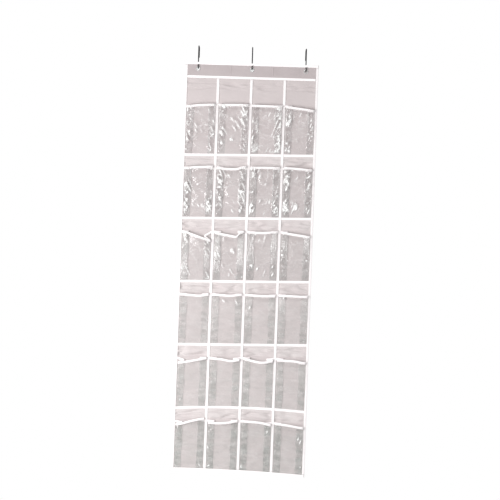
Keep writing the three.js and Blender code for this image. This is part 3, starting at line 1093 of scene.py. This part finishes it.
def add_hook(side):
    node = f"hook_{side}"
    points = []
    rings = wire_rings(hook_path(node), middle(node).x)
    for place, forward, radius in rings:
        up = forward.cross(Vector((1, 0, 0))).normalized()
        for turn in full_turn(WIRE_SIDES):
            points.append(place + radius * (Vector((math.cos(turn), 0, 0)) + up * math.sin(turn)))
    faces = tube_faces(WIRE_SIDES, len(rings))
    piece = add_mesh(f"wire_hook_{side}", points, faces, [HOOK_METAL])
    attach(piece, node)
    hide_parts(node)


# ---- eyelets ----

RING_SIDES = 56
CURL_R = 7.2 * MM


def lathe(name, profile, centre, material):
    """A closed ring: a (radius, depth) profile turned about the line through the panel."""
    points = []
    for turn in full_turn(RING_SIDES):
        for radius, depth in profile:
            points.append((centre.x + radius * math.cos(turn), MID_Y - depth,
                           centre.z + radius * math.sin(turn)))
    faces = [tuple(corner % len(points) for corner in face)
             for face in grid_faces(len(profile), RING_SIDES + 1, closed=True)]
    return add_mesh(name, points, faces, [material])


def eyelet_profile():
    """Rolled flange in front, barrel through the fabric, curl behind the washer."""
    front, back = depths("eyelet_left")
    hole = EYELET_HOLE_R
    crest = (hole + FLANGE_R) / 2 - 0.6 * MM
    # points in mm from a radius and a depth, round the section
    course = [
        (hole, BINDING_FRONT, [(0, -0.9)]),
        (hole, front, [(0.25, -0.55), (0.8, -0.15)]),
        (crest, front, [(0, 0), (1, -0.12)]),
        (FLANGE_R, front, [(-0.7, -0.55), (-0.1, -1.05)]),
        (FLANGE_R, BINDING_FRONT, [(0, -0.6), (-0.4, -0.6)]),
        (hole, BINDING_FRONT, [(0.7, -0.75)]),
        (hole, BINDING_BACK, [(0.6, 0)]),
        (CURL_R, back, [(0, 0.9), (-0.1, 0.4), (-0.8, 0.05)]),
        (hole, back, [(0.9, 0), (0.3, 0.3), (0, 0.9)]),
    ]
    return [(radius + out * MM, depth + forward * MM)
            for radius, depth, offsets in course for out, forward in offsets]


def washer_profile():
    """A flat ring with its outer edge rounded."""
    front, back = depths("eyelet_washer_left")
    outer = size("eyelet_washer_left").x / 2
    inner = EYELET_HOLE_R + 0.95 * MM
    return [(inner, front), (outer - 0.1 * MM, front), (outer, front - 0.15 * MM),
            (outer, back + 0.25 * MM), (outer - 0.3 * MM, back), (inner, back)]


def add_eyelets():
    for side, centre in zip(SIDES, EYELET_CENTRES):
        ring = lathe(f"eyelet_ring_{side}", eyelet_profile(), centre, EYELET_METAL)
        washer = lathe(f"eyelet_back_{side}", washer_profile(), centre, EYELET_METAL)
        on_panel(ring, TOP_Z, "eyelet_metal", f"eyelet_{side}")
        on_panel(washer, TOP_Z, "eyelet_metal", f"eyelet_washer_{side}")


# ---- studio ----

FLOOR_Z = -2.04
FLOOR_R = 1.5
CAMERA_DISTANCE = 5.0
VIEW_HEIGHT = 1.875
VIEW_CENTRE = (0.013, -0.759)  # x and z
CAMERA_ROLL = math.radians(-1.75)
SENSOR = 36  # of the camera, in its own millimetres
SURROUND = 0.47  # strength of the white surroundings as a light
REFLECTED = 0.16  # and in reflections


def add_floor():
    work = bmesh.new()
    bmesh.ops.create_circle(work, cap_ends=True, segments=96, radius=FLOOR_R)
    floor = object_from("floor", work)
    floor.location = (0, 0, FLOOR_Z)
    pale = new_material("pale_floor")
    speckle = pale.noise(pale.place(), 60, 4)
    base = pale.colours(speckle, (0.3, (0.8, 0.8, 0.79)), (0.7, (0.84, 0.84, 0.83)))
    pale.give("Base Color", base)
    pale.give("Roughness", 0.75)
    floor.data.materials.append(pale.owner)


def add_light(name, place, aimed_z, width, height, power):
    """An area light that points at the organizer's middle at the height aimed_z."""
    light = bpy.data.lights.new(name, "AREA")
    light.shape = "RECTANGLE"
    light.size, light.size_y = width, height
    light.energy = power
    lamp = add_object(name, light)
    lamp.location = place
    aim = Vector((0, 0, aimed_z)) - Vector(place)
    lamp.rotation_euler = aim.to_track_quat("-Z", "Y").to_euler()
    return lamp


def add_world():
    """White behind the object, softer light from all round, and darker reflections."""
    studio = Nodes(bpy.data.worlds.new("studio"), "Background")
    bpy.context.scene.world = studio.owner
    glossy = studio.add("ShaderNodeLightPath", "Is Glossy Ray", {})
    direct = glossy.node.outputs["Is Camera Ray"]
    around = {"Factor": glossy, "A": SURROUND, "B": REFLECTED}
    light = studio.add("ShaderNodeMix", "Result", around)
    strength = studio.add("ShaderNodeMix", "Result", {"Factor": direct, "A": light, "B": 1.0})
    studio.give("Strength", strength)
    studio.give("Color", (1, 1, 1, 1))


def add_lights():
    """A soft key from the left, and smaller lights that the film reflects."""
    key = add_light("key", (-1.6, -2.1, -1.15), -1.05, 1.4, 1.4, 64)
    key.visible_glossy = False
    add_light("low_left", (-0.7, -2.6, -0.95), -0.4, 0.5, 0.3, 5)
    add_light("strip_left", (-0.9, -2.4, 1.4), -0.6, 0.4, 1.4, 9)
    add_light("strip_right", (1.3, -2.6, 0.9), -0.6, 0.4, 1.2, 8)
    add_light("strip_top", (0.2, -2.8, 1.7), -0.5, 1.5, 0.4, 9)


def add_camera():
    """Square on to the pockets, turned a little about its own line of sight."""
    camera = bpy.data.cameras.new("camera")
    camera.sensor_width = SENSOR
    camera.lens = SENSOR * CAMERA_DISTANCE / VIEW_HEIGHT
    holder = add_object("camera", camera)
    holder.location = (VIEW_CENTRE[0], MID_Y - CAMERA_DISTANCE, VIEW_CENTRE[1])
    holder.rotation_euler = (math.pi / 2, CAMERA_ROLL, 0)
    bpy.context.scene.camera = holder


# ---- the organizer ----

panel = add_panel()
band = add_band()
tapes = add_cross_tapes() + add_hems() + add_dividers()
punch_eyelets(panel, band)
across_fold(panel, "panel_fabric", "back_panel_upper", "back_panel_lower")
on_panel(band, TOP_Z, "band_fabric", "top_band")
for pocket_row in range(ROWS):
    for pocket_column in range(COLUMNS):
        add_pocket(pocket_row, pocket_column)
for hook_side in SIDES:
    add_hook(hook_side)
add_eyelets()
add_floor()
add_world()
add_lights()
add_camera()
bpy.context.scene.view_settings.view_transform = "Standard"
